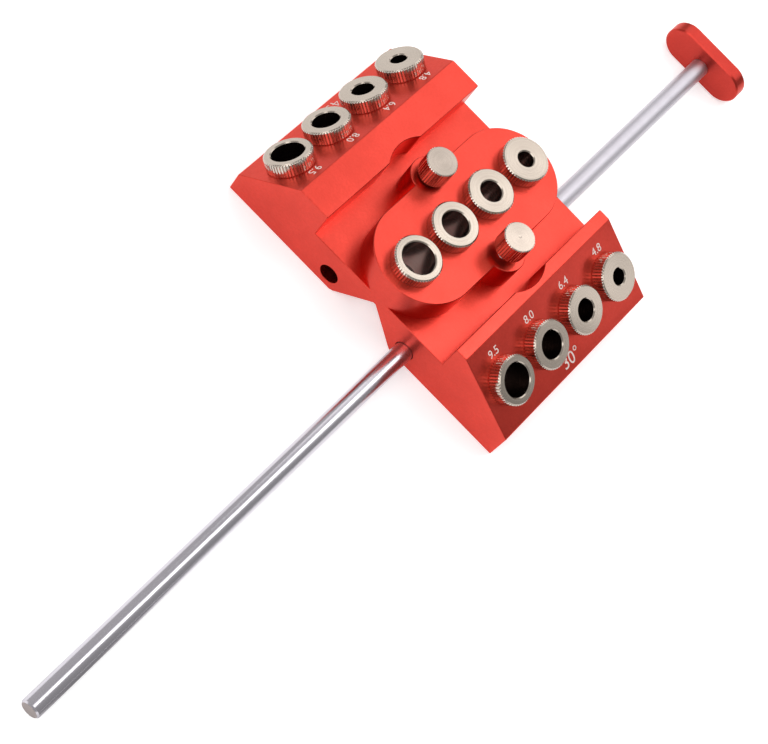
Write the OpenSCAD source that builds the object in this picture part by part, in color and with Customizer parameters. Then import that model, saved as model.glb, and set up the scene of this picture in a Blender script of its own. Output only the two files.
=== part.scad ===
// Angle drill guide: a milled block with three rows of drill bushes, at 45, 90 and 30 degrees to the
// work, and a clamped guide rod with an end stop.
// The block runs along Y, the base lies on Z = 0, and X = 0 is the middle of the V-groove.
// The near end is at low Y and the stop is at high Y. The 45 degree row is on the -X side.

/* [Block] */
// Thickness of the block under the two channels
floor_t = 14.3; // [13:0.1:19]
// Depth of the channels beside the platform
channel_depth = 9.7; // [7:0.1:14.5]
// Clear width of each channel, from the platform's side to the wall
channel_gap = 9.1; // [8:0.1:16]
// Width of the flat land beside the 45 degree flank
land_45_w = 10.1; // [6.5:0.1:24]
// Width of the flat land beside the 30 degree flank
land_30_w = 3.6; // [3.2:0.1:24]
// Height that the 45 degree flank drops
flank_45_drop = 16.5; // [13:0.1:17.5]
// Height that the 30 degree flank drops
flank_30_drop = 13.3; // [10:0.1:17.5]
// Distance from the end bushes' axes to the block's end faces
end_margin = 9.4; // [8.5:0.1:20]
// Width of the V-groove at the base; its walls meet at 90 degrees
v_groove_w = 23; // [16:0.1:24]
// Width of the small flat at the bottom of the V-groove
v_flat_w = 0.8; // [0.4:0.1:3]
// Chamfer along the V-groove's mouth
v_chamfer = 0.6; // [0.2:0.1:1.5]

/* [Platform] */
// Width of the long-round platform
platform_w = 30.6; // [28:0.1:48]
// How far the platform's round ends are cut off by the end faces
platform_trim = 0.2; // [0:0.05:2]
// Diameter of the two lobes under the thumbscrews
lobe_d = 12; // [10:0.1:14]
// Clear milled width around each lobe
lobe_gap = 6; // [4:0.1:6.5]

/* [Bushes] */
// Drill size of the first bush of each row, at the near end
drill_1 = 9.52; // [6:0.01:10]
// Drill size of the second bush
drill_2 = 7.93; // [5:0.01:10]
// Drill size of the third bush
drill_3 = 6.35; // [4:0.01:10]
// Drill size of the fourth bush, nearest the stop
drill_4 = 4.75; // [2:0.01:10]
// Clearance of a drill in its bush, on the diameter
drill_play = 0.06; // [0.02:0.01:0.15]
// Distance between neighbouring bush axes
bush_pitch = 16.4; // [15.5:0.1:24]
// Diameter of a bush's knurled head
bush_head_d = 14; // [13:0.1:15]
// Height of a bush's head
bush_head_h = 4.1; // [3:0.1:8]
// Diameter of a bush's shank
bush_shank_d = 12; // [11.5:0.1:12.6]
// Length of a bush's shank in the block
bush_shank_l = 9; // [6:0.1:9.5]
// Bevel on the rim of a bush's face
bush_bevel = 0.45; // [0.2:0.05:1]
// Lead-in chamfer at the mouth of a bush's bore
bore_chamfer = 0.25; // [0.1:0.05:0.6]
// Radial clearance of a bush's shank in its seat
bush_fit = 0.03; // [0.01:0.01:0.1]
// Diameter of the drill's way through the block under a bush
way_d = 10.2; // [10.1:0.1:11]

/* [Rod and stop] */
// Diameter of the guide rod
rod_d = 5.8; // [4:0.1:7]
// Length of the guide rod
rod_l = 298; // [180:1:500]
// Radial clearance of the rod in its hole
rod_play = 0.1; // [0.02:0.01:0.1]
// Distance of each rod hole's axis inside the platform's side
rod_inset = 0.7; // [0:0.1:2]
// Height of the rod holes' axes above the base
rod_h = 5.2; // [4.2:0.1:6.5]
// Chamfer at the mouths of the rod holes
mouth_chamfer = 0.2; // [0.1:0.05:0.5]
// Chamfer on the rod's free end
rod_chamfer = 0.5; // [0.1:0.05:1]
// Distance from the block's far end face to the stop
stop_out = 82.8; // [5:0.1:200]
// Length of the stop plate
stop_l = 28.8; // [22:0.1:60]
// Width of the stop plate; its lower edge is level with the base
stop_w = 12.4; // [11:0.1:16]
// Thickness of the stop plate
stop_t = 4.7; // [4.5:0.1:12]
// Edge bevel of the stop plate
stop_bevel = 0.4; // [0.1:0.1:1]
// Depth that the rod's end is seated in the stop plate
seat_depth = 2; // [1:0.1:2.2]
// Radial clearance of the rod's end and the screw where the stop turns on them
turn_play = 0.05; // [0.02:0.01:0.1]
// Thread diameter of the stop's countersunk screw
stop_screw_d = 3; // [2:0.5:3.5]
// Length of that screw, head included
stop_screw_l = 14; // [10:1:24]
// Drilled depth left free past the screw's end
screw_spare = 1; // [0.5:0.5:5]

/* [Thumbscrews] */
// Diameter of a thumbscrew's knurled head
knob_d = 9.2; // [7:0.1:11]
// Height of a thumbscrew's head
knob_h = 7.6; // [5:0.1:14]
// Bevel at the bottom of a thumbscrew's head
knob_bevel = 1; // [0.3:0.1:1.5]
// Bevel around the top face of a thumbscrew's head
knob_rim = 0.25; // [0.1:0.05:0.8]
// Diameter of a thumbscrew's stud
stud_d = 5; // [3:0.5:6]
// Radial clearance of a stud in the block, where the real one has its thread
stud_play = 0.06; // [0.02:0.01:0.1]
// Depth that a stud is seated in its head
stud_seat = 4; // [2:0.1:4.5]
// Radial clearance of a stud in its head
seat_play = 0.05; // [0.02:0.01:0.1]
// Gap under the head of the thumbscrew that clamps the rod
clamped_gap = 1.9; // [1:0.1:4]
// Gap under the head of the thumbscrew over the empty rod hole
idle_gap = 0.8; // [0.2:0.1:1]
// Gap between the clamping stud's tip and the rod
tip_gap = 0.05; // [0.02:0.01:0.1]
// Chamfer on a stud's tip
stud_chamfer = 0.5; // [0.2:0.1:1]

/* [Hidden] */
$fn = 96;

// Colours of the real materials
red_anodised = "#d8342c";
satin_nickel = "#c8c0b6";
polished_steel = "#cfcfd2";
dark_steel = "#55565a";

// Cutting tools reach this far past the faces that they cut
over = 1;
drills = [drill_1, drill_2, drill_3, drill_4];
n_bushes = len(drills);
body_h = floor_t + channel_depth;
body_l = (n_bushes - 1) * bush_pitch + 2 * end_margin;
near_y = -body_l / 2;
far_y = body_l / 2;

// The block's cross-section, worked out from the middle to both sides
wall_x = platform_w / 2 + channel_gap;
angle_45 = 45;
angle_30 = 30;
land_45_x = -wall_x - land_45_w;
land_30_x = wall_x + land_30_w;
side_45_x = land_45_x - flank_45_drop / tan(angle_45);
side_30_x = land_30_x + flank_30_drop / tan(angle_30);
side_45_h = body_h - flank_45_drop;
side_30_h = body_h - flank_30_drop;
v_depth = (v_groove_w - v_flat_w) / 2;

// Rod holes, lobes and thumbscrews share these two lines
rod_x = platform_w / 2 - rod_inset;
rod_hole_d = rod_d + 2 * rod_play;
rod_top = rod_h + rod_d / 2;
stop_y = far_y + stop_out;
rod_end_y = stop_y + seat_depth;
rod_start_y = rod_end_y - rod_l;

// Both thumbscrews are alike: the clamping one is set by the rod, the other is turned further in
clamp_tip_z = rod_top + tip_gap;
stud_l = body_h + clamped_gap + stud_seat - clamp_tip_z;

// The stop's screw
screw_head_d = 2 * stop_screw_d;
screw_head_h = stop_screw_d / 2;
hex_d = stop_screw_d * 0.75;
stop_back_y = stop_y + stop_t;

// Axis of bush number i along the block, from the near end
function bush_y(i) = near_y + end_margin + i * bush_pitch;

// Puts a bush or its hole, drawn upright with its seat at Z = 0, on a row: 45, 90 or 30
module on_row(row, i) {
    if (row == 45)
        translate([(side_45_x + land_45_x) / 2, bush_y(i), body_h - flank_45_drop / 2])
            rotate([0, -angle_45, 0]) children();
    else if (row == 30)
        translate([(side_30_x + land_30_x) / 2, bush_y(i), body_h - flank_30_drop / 2])
            rotate([0, angle_30, 0]) children();
    else
        translate([0, bush_y(i), body_h]) children();
}

// Lays an upright shape along Y, so that its Z = 0 end faces low Y
module along_y() {
    rotate([-90, 0, 0]) children();
}

// Long-round outline, with its long side along X
module long_round(length, width) {
    translate([-(length - width) / 2, 0]) circle(d = width);
    translate([(length - width) / 2, 0]) circle(d = width);
    square([length - width, width], center = true);
}

// Outline of the block seen from the near end, with the channel space still full
module section() {
    polygon([
        [side_45_x, 0], [side_45_x, side_45_h], [land_45_x, body_h], [land_30_x, body_h],
        [side_30_x, side_30_h], [side_30_x, 0],
        [v_groove_w / 2 + v_chamfer, 0], [v_groove_w / 2 - v_chamfer, v_chamfer],
        [v_flat_w / 2, v_depth], [-v_flat_w / 2, v_depth],
        [-v_groove_w / 2 + v_chamfer, v_chamfer], [-v_groove_w / 2 - v_chamfer, 0]
    ]);
}

// Plan of the milled space between the lands, with its rounded notches
module channel_plan() {
    square([2 * wall_x, body_l + 2 * over], center = true);
    for (side = [-1, 1]) translate([side * rod_x, 0]) circle(d = lobe_d + 2 * lobe_gap);
}

// Plan of the platform with its two lobes
module platform_plan() {
    rotate([0, 0, 90]) long_round(body_l + 2 * platform_trim, platform_w);
    for (side = [-1, 1]) translate([side * rod_x, 0]) circle(d = lobe_d);
}

// Hole for one bush and its drill, on an upright axis with the seat at Z = 0
module bush_hole() {
    reach = 2 * body_h;
    translate([0, 0, -bush_shank_l]) cylinder(d = bush_shank_d + 2 * bush_fit, h = bush_shank_l + over);
    translate([0, 0, -reach]) cylinder(d = way_d, h = reach);
}

// Hole for the rod through the whole block, drawn upright from Z = 0
module rod_hole() {
    mouth_d = rod_hole_d + 2 * (mouth_chamfer + over);
    translate([0, 0, -over]) {
        cylinder(d = rod_hole_d, h = body_l + 2 * over);
        cylinder(d1 = mouth_d, d2 = rod_hole_d, h = mouth_chamfer + over);
    }
    translate([0, 0, body_l - mouth_chamfer])
        cylinder(d1 = rod_hole_d, d2 = mouth_d, h = mouth_chamfer + over);
}

module body_block() {
    color(red_anodised) difference() {
        translate([0, far_y, 0]) rotate([90, 0, 0]) linear_extrude(body_l) section();
        translate([0, 0, floor_t]) linear_extrude(channel_depth + over) difference() {
            channel_plan();
            platform_plan();
        }
        for (row = [45, 90, 30]) for (i = [0 : n_bushes - 1]) on_row(row, i) bush_hole();
        for (side = [-1, 1]) {
            translate([side * rod_x, near_y, rod_h]) along_y() rod_hole();
            translate([side * rod_x, 0, rod_h])
                cylinder(d = stud_d + 2 * stud_play, h = body_h - rod_h + over);
        }
    }
}

// One bush, upright, with the underside of its head at Z = 0
module bush(drill) {
    bore_r = (drill + drill_play) / 2;
    head_r = bush_head_d / 2;
    shank_r = bush_shank_d / 2;
    color(satin_nickel) rotate_extrude() polygon([
        [bore_r, -bush_shank_l], [shank_r - bush_bevel, -bush_shank_l], [shank_r, -bush_shank_l + bush_bevel],
        [shank_r, 0], [head_r - bore_chamfer, 0], [head_r, bore_chamfer], [head_r, bush_head_h - bush_bevel],
        [head_r - bush_bevel, bush_head_h], [bore_r + bore_chamfer, bush_head_h],
        [bore_r, bush_head_h - bore_chamfer]
    ]);
}

module guide_rod() {
    drilled = stop_screw_l - (stop_t - seat_depth) + screw_spare;
    color(polished_steel) translate([rod_x, rod_start_y, rod_h]) along_y() difference() {
        union() {
            cylinder(d1 = rod_d - 2 * rod_chamfer, d2 = rod_d, h = rod_chamfer);
            translate([0, 0, rod_chamfer]) cylinder(d = rod_d, h = rod_l - rod_chamfer);
        }
        translate([0, 0, rod_l - drilled]) cylinder(d = stop_screw_d + 2 * turn_play, h = drilled + over);
    }
}

// The stop's solid outline with bevelled edges, its near face at Z = 0
module stop_blank() {
    straight = stop_l - stop_w;
    edge_x = stop_w / 2;
    profile = [[0, 0], [edge_x - stop_bevel, 0], [edge_x, stop_bevel], [edge_x, stop_t - stop_bevel],
        [edge_x - stop_bevel, stop_t], [0, stop_t]];
    for (side = [-1, 1]) translate([side * straight / 2, 0, 0]) rotate_extrude() polygon(profile);
    for (side = [0, 1]) mirror([0, side, 0]) rotate([90, 0, 90])
        translate([0, 0, -straight / 2]) linear_extrude(straight) polygon(profile);
}

module stop_plate() {
    color(red_anodised) difference() {
        translate([rod_x, stop_y, stop_w / 2]) along_y() stop_blank();
        translate([rod_x, stop_y, rod_h]) along_y() {
            translate([0, 0, -over]) cylinder(d = rod_d + 2 * turn_play, h = seat_depth + over);
            translate([0, 0, -over]) cylinder(d = stop_screw_d, h = stop_t + 2 * over);
            translate([0, 0, stop_t - screw_head_h])
                cylinder(d1 = stop_screw_d, d2 = screw_head_d, h = screw_head_h);
        }
    }
}

// Countersunk screw with a hex socket, driven from behind the stop into the rod
module stop_screw() {
    color(dark_steel) translate([rod_x, stop_back_y, rod_h]) rotate([90, 0, 0]) difference() {
        union() {
            cylinder(d1 = screw_head_d, d2 = stop_screw_d, h = screw_head_h);
            cylinder(d = stop_screw_d, h = stop_screw_l);
        }
        translate([0, 0, -over]) cylinder(d = hex_d, h = screw_head_h + over, $fn = 6);
    }
}

// A thumbscrew's stud, on the line of one rod hole, with the given gap under its head
module clamp_stud(side, gap) {
    top_z = body_h + gap + stud_seat;
    color(satin_nickel) translate([side * rod_x, 0, top_z - stud_l]) {
        cylinder(d1 = stud_d - 2 * stud_chamfer, d2 = stud_d, h = stud_chamfer);
        translate([0, 0, stud_chamfer]) cylinder(d = stud_d, h = stud_l - stud_chamfer);
    }
}

// A thumbscrew's knurled head, open below where the stud is seated
module clamp_knob(side, gap) {
    color(satin_nickel) translate([side * rod_x, 0, body_h + gap]) difference() {
        rotate_extrude() polygon([
            [0, 0], [knob_d / 2 - knob_bevel, 0], [knob_d / 2, knob_bevel], [knob_d / 2, knob_h - knob_rim],
            [knob_d / 2 - knob_rim, knob_h], [0, knob_h]
        ]);
        translate([0, 0, -over]) cylinder(d = stud_d + 2 * seat_play, h = stud_seat + over);
    }
}

body_block();
for (row = [45, 90, 30]) for (i = [0 : n_bushes - 1])
    on_row(row, i) bush(drills[i]);
guide_rod();
stop_plate();
stop_screw();
clamp_stud(1, clamped_gap);  // clamp_stud_right
clamp_knob(1, clamped_gap);  // clamp_knob_right
clamp_stud(-1, idle_gap);  // clamp_stud_left
clamp_knob(-1, idle_gap);  // clamp_knob_left
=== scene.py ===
# %% [markdown]
# # Angle drill guide
# This file dresses a measured CAD model of a bench tool: a red anodised block with three rows of drill
# bushes, a steel guide rod with a red stop, and two thumbscrews. The CAD gives the sizes and the joints.
# Blender gives the finishes, the rounded edges, the knurls and the threads. The first cell loads the CAD
# parts, whose boxes place the pieces.

# %% Load the CAD frame
import math

import bmesh
import bpy
from mathutils import Matrix, Quaternion, Vector


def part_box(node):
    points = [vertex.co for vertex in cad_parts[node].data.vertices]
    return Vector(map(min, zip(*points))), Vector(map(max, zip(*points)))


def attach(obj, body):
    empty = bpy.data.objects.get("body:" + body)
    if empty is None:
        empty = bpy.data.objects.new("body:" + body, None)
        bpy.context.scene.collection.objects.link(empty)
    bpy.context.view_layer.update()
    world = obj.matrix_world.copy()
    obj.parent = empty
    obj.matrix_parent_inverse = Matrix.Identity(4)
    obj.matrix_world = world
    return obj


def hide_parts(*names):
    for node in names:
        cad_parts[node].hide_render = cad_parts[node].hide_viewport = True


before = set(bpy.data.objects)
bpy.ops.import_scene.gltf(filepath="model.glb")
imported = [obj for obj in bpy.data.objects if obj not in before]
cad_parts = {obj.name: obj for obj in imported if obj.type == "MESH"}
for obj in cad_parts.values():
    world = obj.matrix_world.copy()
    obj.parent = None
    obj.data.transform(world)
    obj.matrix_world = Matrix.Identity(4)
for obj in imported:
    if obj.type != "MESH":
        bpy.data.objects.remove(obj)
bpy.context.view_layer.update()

# %% [markdown]
# The real sizes of this tool are in millimetres, and Blender works in metres. One factor turns the first
# into the second. The block's top, the rod and the rows of bushes are read from the CAD nodes, so a piece
# lands where it belongs. Its drawing gives the place of each slope's upper edge, and the rod's radius and
# height.

# %% Sizes shared by several pieces
MM = 0.001
LAND_45_X, LAND_30_X = -34.5, 28.0
ROD_R, ROD_Z = 2.9, 5.2


def middle_of(node):
    """The middle of a CAD node's box at rest, in metres."""
    low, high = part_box(node)
    return low.lerp(high, 0.5)


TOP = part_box("body_block")[1].z / MM
ROD_X = middle_of("guide_rod").x / MM
BUSH_ROWS_Y = [middle_of(f"bush_90_{i}").y / MM for i in range(1, 5)]
print("block top at", round(TOP, 2), "mm, rod at x", round(ROD_X, 2), "mm")
print("bush rows at y", [round(y, 1) for y in BUSH_ROWS_Y], "mm")

# %% [markdown]
# Product photographs are taken with a long lens from above, so the tool's edges stay almost parallel.
# This camera stands about 0.6 m away with a lens of 100 mm. Its place and its small shift put the corners
# of the block, the bushes and the rod's two ends where the photograph has them.

# %% Camera
camera_data = bpy.data.cameras.new("bench_camera")
camera_data.lens = 100.54637
camera_data.sensor_width = 36
camera_data.shift_x = 0.00305465
camera_data.shift_y = -0.03677094
camera_data.clip_start = 0.01
camera = bpy.data.objects.new("bench_camera", camera_data)
camera.location = (0.02261071, -0.34973816, 0.49428743)
camera.rotation_euler = [math.radians(a) for a in (24.84276461, -21.79710967, 41.21900884)]
bpy.context.scene.collection.objects.link(camera)
bpy.context.scene.camera = camera
print("camera", round(camera.location.length, 3), "m from the block's middle")

# %% [markdown]
# Colours are picked on screen, as sRGB hex values, but a renderer adds light in linear numbers. One
# function turns the first into the second. Another function adds a node to a material with its settings
# and links, so that each material below reads as a short list. A Mix node has inputs of the same name for
# numbers and for colours, so these are told apart by their places.

# %% Colour and node helpers
NUMBER_A, NUMBER_B, COLOUR_A, COLOUR_B = 2, 3, 6, 7


def linear(hex_colour):
    """An sRGB hex colour as linear red, green, blue and alpha."""
    channels = [int(hex_colour[i:i + 2], 16) / 255 for i in (1, 3, 5)]
    return tuple(c / 12.92 if c <= 0.04045 else ((c + 0.055) / 1.055) ** 2.4 for c in channels) + (1.0,)


def add_node(tree, kind, settings=None, links=None):
    """Adds one node. Settings are properties or input values, links are inputs fed by another socket."""
    node = tree.nodes.new(kind)
    for name, value in (settings or {}).items():
        if isinstance(name, str) and hasattr(node, name):
            setattr(node, name, value)
        else:
            node.inputs[name].default_value = value
    for name, socket in (links or {}).items():
        tree.links.new(socket, node.inputs[name])
    return node


def new_finish(name, settings):
    """A material with one Principled shader. Returns the material, its tree and the shader."""
    material = bpy.data.materials.new(name)
    material.use_nodes = True
    tree = material.node_tree
    tree.nodes.clear()
    shader = add_node(tree, "ShaderNodeBsdfPrincipled", settings)
    add_node(tree, "ShaderNodeOutputMaterial", links={"Surface": shader.outputs["BSDF"]})
    return material, tree, shader


print("anodised red in linear numbers:", [round(c, 3) for c in linear("#d94032")])

# %% [markdown]
# The tool stands on a plain pale table. The photograph's ground is pure white, so the table adds a little
# of its own light for the rays that come from the camera or bounce off metal. It stays a real surface for
# all the others, so the tool's soft shadow remains on it.

# %% Table
TABLE_HALF_WIDTH, TABLE_LIFT = 6.0, 0.45


def pale_table():
    """The table's material: matt white, with a lift for camera, glossy and transmission rays."""
    material = bpy.data.materials.new("matt_white_laminate")
    material.use_nodes = True
    tree = material.node_tree
    tree.nodes.clear()
    path = add_node(tree, "ShaderNodeLightPath")
    seen = add_node(tree, "ShaderNodeMath", {"operation": "MAXIMUM"},
                    {0: path.outputs["Is Camera Ray"], 1: path.outputs["Is Glossy Ray"]})
    seen = add_node(tree, "ShaderNodeMath", {"operation": "MAXIMUM"},
                    {0: seen.outputs[0], 1: path.outputs["Is Transmission Ray"]})
    lift = add_node(tree, "ShaderNodeMath", {"operation": "MULTIPLY", 1: TABLE_LIFT}, {0: seen.outputs[0]})
    glow = add_node(tree, "ShaderNodeEmission", {"Color": linear("#ffffff")}, {"Strength": lift.outputs[0]})
    matt = add_node(tree, "ShaderNodeBsdfDiffuse", {"Color": linear("#f3f3f3")})
    both = add_node(tree, "ShaderNodeAddShader", links={0: matt.outputs[0], 1: glow.outputs[0]})
    add_node(tree, "ShaderNodeOutputMaterial", links={"Surface": both.outputs[0]})
    return material


table_bm = bmesh.new()
bmesh.ops.create_grid(table_bm, x_segments=1, y_segments=1, size=TABLE_HALF_WIDTH)
table_mesh = bpy.data.meshes.new("table_top")
table_bm.to_mesh(table_mesh)
table_bm.free()
table_mesh.materials.append(pale_table())
table_top = bpy.data.objects.new("table_top", table_mesh)
bpy.context.scene.collection.objects.link(table_top)
print("table", table_top.dimensions.x, "m wide")

# %% [markdown]
# Metal shows its surroundings, so the light is planned by what each face reflects. The flat tops look up
# and back, so a wide panel behind the tool makes them bright. It ends where the near half of the rod
# would see it. That half carries one white stripe instead, from a soft box that hangs above and behind
# the tool, a little to the right. A panel in front lights the broken edges that face the camera and the
# red faces that the knurls mirror. The room is paler on the left than on the right, so the left slope is
# lighter, and two small panels that only reflections see brighten the far end of the right slope. All of
# it together lights a matt surface at about its own colour.

# %% Room light
room = bpy.data.worlds.new("pale_room")
room.use_nodes = True
room.node_tree.nodes.clear()
room_view = add_node(room.node_tree, "ShaderNodeTexCoord")
room_axes = add_node(room.node_tree, "ShaderNodeSeparateXYZ", links={0: room_view.outputs["Generated"]})
room_side = add_node(room.node_tree, "ShaderNodeMapRange", {"From Min": -0.9, "From Max": 1.0},
                     {"Value": room_axes.outputs["X"]})
room_tone = add_node(
    room.node_tree, "ShaderNodeMix",
    {"data_type": "RGBA", COLOUR_A: linear("#c8c8c8"), COLOUR_B: linear("#9e9e9e")},
    {"Factor": room_side.outputs[0]})
room_back = add_node(room.node_tree, "ShaderNodeBackground", {"Strength": 1.0},
                     {"Color": room_tone.outputs[2]})
add_node(room.node_tree, "ShaderNodeOutputWorld", links={"Surface": room_back.outputs[0]})
bpy.context.scene.world = room
bpy.context.scene.view_settings.view_transform = "Standard"


def soft_panel(name, place, aim, width, length, radiance, turn=0):
    """A one-sided panel that faces a point, turned in its plane by degrees. Radiance 1 mirrors as white."""
    data = bpy.data.lights.new(name, "AREA")
    data.shape = "RECTANGLE"
    data.size, data.size_y = width, length
    data.energy = radiance * math.pi * width * length
    lamp = bpy.data.objects.new(name, data)
    lamp.location = place
    facing = (Vector(aim) - Vector(place)).to_track_quat("-Z", "Y")
    lamp.rotation_euler = (facing @ Quaternion((0, 0, 1), math.radians(turn))).to_euler()
    lamp.visible_camera = False
    bpy.context.scene.collection.objects.link(lamp)
    print(name, round(data.energy, 2), "W over", round(width * length, 4), "square metres")
    return lamp


soft_panel("back_panel", place=(-0.07, 0.587, 0.517), aim=(-0.07, 0.127, -0.023), width=1.1, length=0.52,
           radiance=1.14)
soft_panel("stripe_box", place=(0.10, 0.18, 0.60), aim=(0.015, -0.10, 0.0), width=0.26, length=0.42,
           radiance=2.3, turn=6)
soft_panel("front_panel", place=(-0.2, -0.66, 0.68), aim=(0.0, 0.0, 0.0), width=0.80, length=0.60,
           radiance=1.8)
slope_panels = [
    soft_panel("slope_panel_far", place=(0.158, 0.132, 0.084), aim=(0.04, 0.02, 0.02), width=0.045,
               length=0.04, radiance=0.95),
    soft_panel("slope_panel_middle", place=(0.162, 0.098, 0.084), aim=(0.04, 0.0, 0.02), width=0.05,
               length=0.04, radiance=0.3),
]
for panel in slope_panels:
    panel.visible_diffuse = False

# %% [markdown]
# Studio photographers lay a grey card beside a polished bar, just out of the picture, so that one side of
# the bar turns dark and its round form reads. The card lies at a slant, so the bar's very edge goes from
# dark at its tip to white near the block. Its edges are feathered, so that its reflection has no hard
# border. Only reflections see this card: it throws no shadow on the table and the camera looks through
# it.

# %% Grey card beside the bar
CARD_LENGTH, CARD_WIDTH, CARD_SLANT = 0.6, 0.19, -24
CARD_PLACE = (0.304, -0.222, 0.0004)
FEATHERS = {"X": 0.035, "Y": 0.2}


def feathered_grey_card():
    """Matt grey paper that lets more and more light through towards its edges."""
    material, tree, shader = new_finish("grey_card_paper", {
        "Base Color": linear("#959595"), "Roughness": 0.9})
    sheet = add_node(tree, "ShaderNodeUVMap", {"uv_map": "sheet"}).outputs["UV"]
    sides = add_node(tree, "ShaderNodeSeparateXYZ", links={0: sheet})
    solid = []
    for side, feather in FEATHERS.items():
        inside = add_node(tree, "ShaderNodeMath", {"operation": "PINGPONG", 1: 0.5},
                          {0: sides.outputs[side]})
        fade = add_node(tree, "ShaderNodeMapRange", {
            "interpolation_type": "SMOOTHSTEP", "From Max": feather}, {"Value": inside.outputs[0]})
        solid.append(fade.outputs[0])
    both = add_node(tree, "ShaderNodeMath", {"operation": "MULTIPLY"}, {0: solid[0], 1: solid[1]})
    tree.links.new(both.outputs[0], shader.inputs["Alpha"])
    return material


card_bm = bmesh.new()
card_bm.loops.layers.uv.new("sheet")
bmesh.ops.create_grid(card_bm, x_segments=1, y_segments=1, size=0.5, calc_uvs=True)
bmesh.ops.scale(card_bm, vec=(CARD_LENGTH, CARD_WIDTH, 1), verts=card_bm.verts)
bmesh.ops.rotate(card_bm, cent=(0, 0, 0), matrix=Matrix.Rotation(math.radians(CARD_SLANT), 3, "Z"),
                 verts=card_bm.verts)
bmesh.ops.translate(card_bm, vec=CARD_PLACE, verts=card_bm.verts)
card_mesh = bpy.data.meshes.new("grey_card")
card_bm.to_mesh(card_mesh)
card_bm.free()
card_mesh.materials.append(feathered_grey_card())
grey_card = bpy.data.objects.new("grey_card", card_mesh)
bpy.context.scene.collection.objects.link(grey_card)
grey_card.visible_camera = grey_card.visible_diffuse = grey_card.visible_shadow = False
print("grey card", [round(d, 3) for d in grey_card.dimensions], "m")

# %% [markdown]
# The block is milled from aluminium, blasted with fine beads and anodised: a clear hard layer takes a red
# dye, and the metal shines through it. A metallic shader with a red base gives that depth, and a thin
# coat gives the layer's own pale sheen at a slant. Beads of about 0.1 mm leave a grain of fine dents that
# glint. The picture has 0.4 mm to a pixel, so the grain is drawn at 0.8 mm. The dye is never quite even,
# so the base drifts a little with the grain and over some millimetres. The stop gets a darker copy of
# this red, which is painted shade for the shade it stands in at the far end.

# %% Red anodised aluminium
def red_anodised_aluminium(name, deep, light):
    """Blasted and dyed aluminium, between a deep and a light tone."""
    material, tree, shader = new_finish(name, {
        "Metallic": 1.0, "Roughness": 0.34, "Specular Tint": linear("#ffc4be"), "Coat Weight": 0.35,
        "Coat Roughness": 0.25})
    where = add_node(tree, "ShaderNodeTexCoord").outputs["Object"]
    drift = add_node(tree, "ShaderNodeTexNoise", {"Scale": 1 / (9 * MM), "Detail": 2.0}, {"Vector": where})
    grain = add_node(tree, "ShaderNodeTexNoise", {"Scale": 1 / (0.8 * MM), "Detail": 3.0, "Roughness": 0.7},
                     {"Vector": where})
    mottle = add_node(tree, "ShaderNodeMath", {"operation": "MULTIPLY"},
                      {0: drift.outputs["Fac"], 1: grain.outputs["Fac"]})
    dye = add_node(tree, "ShaderNodeValToRGB", links={"Fac": mottle.outputs[0]})
    dye.color_ramp.elements[0].position, dye.color_ramp.elements[1].position = 0.1, 0.4
    dye.color_ramp.elements[0].color = linear(deep)
    dye.color_ramp.elements[1].color = linear(light)
    tree.links.new(dye.outputs["Color"], shader.inputs["Base Color"])
    rough = add_node(tree, "ShaderNodeMapRange", {"To Min": 0.25, "To Max": 0.38},
                     {"Value": grain.outputs["Fac"]})
    tree.links.new(rough.outputs[0], shader.inputs["Roughness"])
    bump = add_node(tree, "ShaderNodeBump", {"Strength": 0.8, "Distance": 0.05 * MM},
                    {"Height": grain.outputs["Fac"]})
    tree.links.new(bump.outputs["Normal"], shader.inputs["Normal"])
    return material


RED = red_anodised_aluminium("red_anodised_aluminium", "#cb392b", "#d94032")
# A darker copy of the same red: painted shade for the stop.
STOP_PAINTED_SHADE_RED = red_anodised_aluminium("stop_red_painted_shade", "#b02a1f", "#bf3226")
print(RED.name, len(RED.node_tree.nodes), "nodes")

# %% [markdown]
# The bushes and thumbscrew heads are steel, turned on a lathe and plated with satin nickel. A lathe tool
# leaves fine rings round the axis, and they stretch a highlight across them. The rings need to follow the
# axis of each tilted bush, so the material reads a UV map: u runs round the piece and v runs along its
# profile, both in millimetres. Rings of 0.05 mm would vanish, so they are drawn at about 0.5 mm. The
# thumbscrew heads are turned finer, so their rings hardly show. The knurl is rolled, not cut, and rolling
# burnishes it, so it is shinier and has no rings.

# %% Satin nickel on turned steel
def turned_nickel(name, dark, light, depth):
    """Nickel over lathe rings, with two tones and the strength of the rings' relief."""
    material, tree, shader = new_finish(name, {"Metallic": 1.0, "Roughness": 0.3, "Anisotropic": 0.4})
    uv = add_node(tree, "ShaderNodeUVMap", {"uv_map": "turning"}).outputs["UV"]
    along = add_node(tree, "ShaderNodeSeparateXYZ", links={0: uv}).outputs["Y"]
    rings = add_node(tree, "ShaderNodeTexNoise", {
        "noise_dimensions": "1D", "Scale": 1 / 0.5, "Detail": 4.0, "Roughness": 0.7}, {"W": along})
    tone = add_node(tree, "ShaderNodeValToRGB", links={"Fac": rings.outputs["Fac"]})
    tone.color_ramp.elements[0].position, tone.color_ramp.elements[1].position = 0.3, 0.7
    tone.color_ramp.elements[0].color = linear(dark)
    tone.color_ramp.elements[1].color = linear(light)
    tree.links.new(tone.outputs["Color"], shader.inputs["Base Color"])
    rough = add_node(tree, "ShaderNodeMapRange", {"To Min": 0.14, "To Max": 0.24},
                     {"Value": rings.outputs["Fac"]})
    tree.links.new(rough.outputs[0], shader.inputs["Roughness"])
    bump = add_node(tree, "ShaderNodeBump", {"Strength": depth, "Distance": 0.01 * MM},
                    {"Height": rings.outputs["Fac"]})
    tree.links.new(bump.outputs["Normal"], shader.inputs["Normal"])
    tangent = add_node(tree, "ShaderNodeTangent", {"direction_type": "UV_MAP", "uv_map": "turning"})
    tree.links.new(tangent.outputs["Tangent"], shader.inputs["Tangent"])
    return material


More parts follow.
